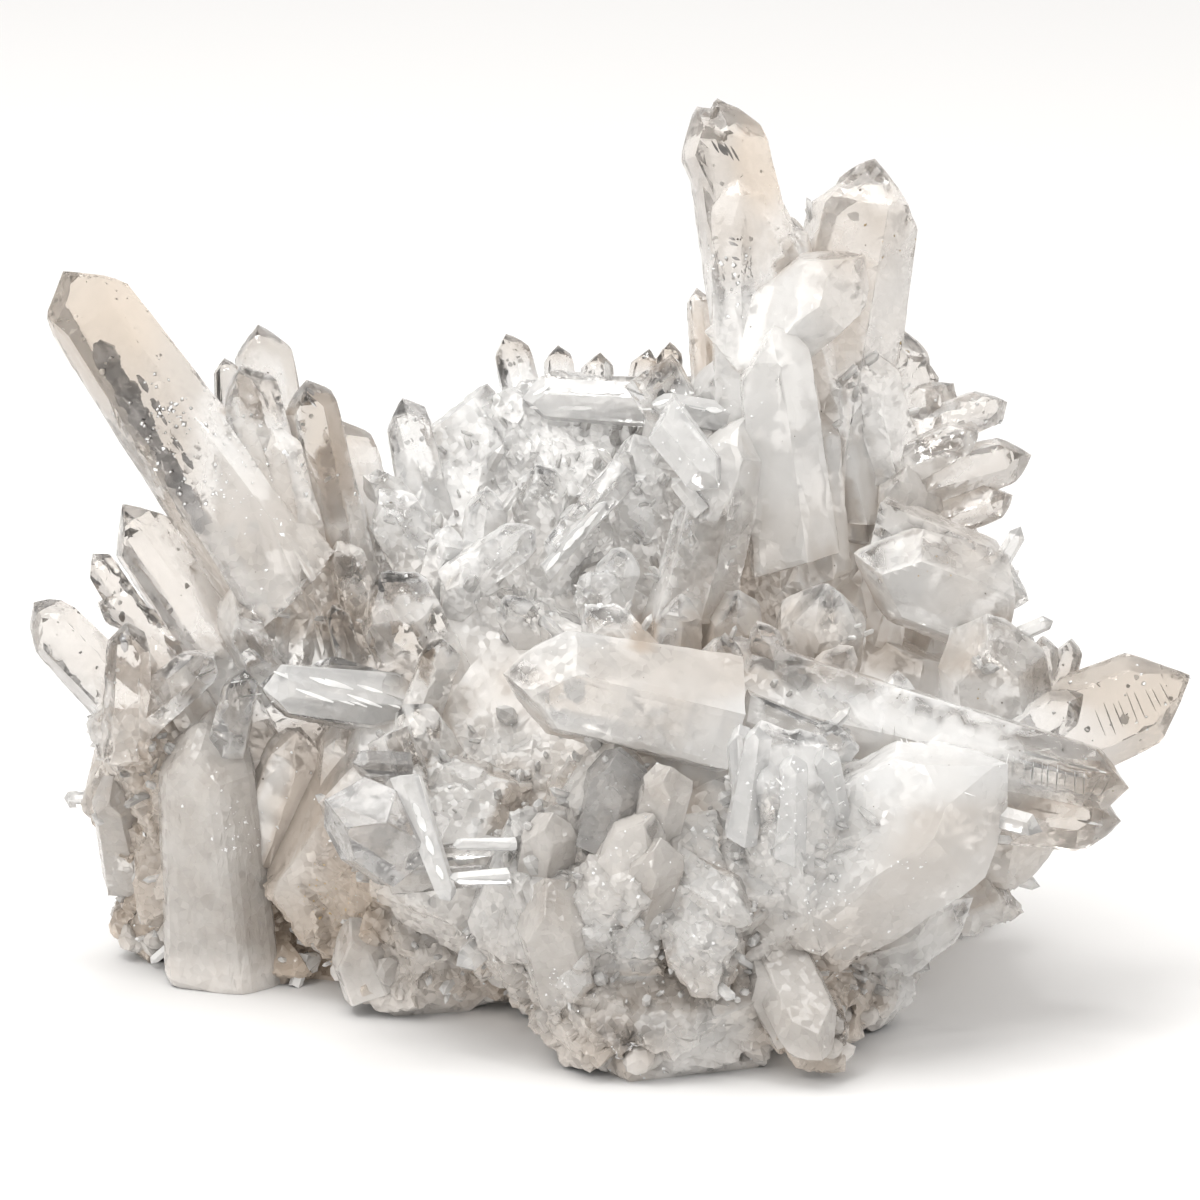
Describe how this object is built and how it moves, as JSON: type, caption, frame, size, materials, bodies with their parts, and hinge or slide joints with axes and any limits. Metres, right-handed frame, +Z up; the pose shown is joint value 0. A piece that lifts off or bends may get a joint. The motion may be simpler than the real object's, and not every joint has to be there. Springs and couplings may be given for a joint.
{
  "type": "quartz crystal cluster",
  "caption": "Cluster of clear and milky six-sided quartz crystals grown together from one mass, cut flat underneath so that it stands on a table.",
  "frame": {"origin": "on the flat underside, below the middle of the cluster's width and depth", "axes": "+Z up, +X to the right as the picture shows the front, +Y to the back"},
  "size_m": [0.1924, 0.1286, 0.1461],
  "materials": {
    "quartz": "glassy crystal faces, milky and frosted at the roots"
  },
  "bodies": {
    "root": {"quartz_cluster": "quartz"}
  },
  "joints": []
}
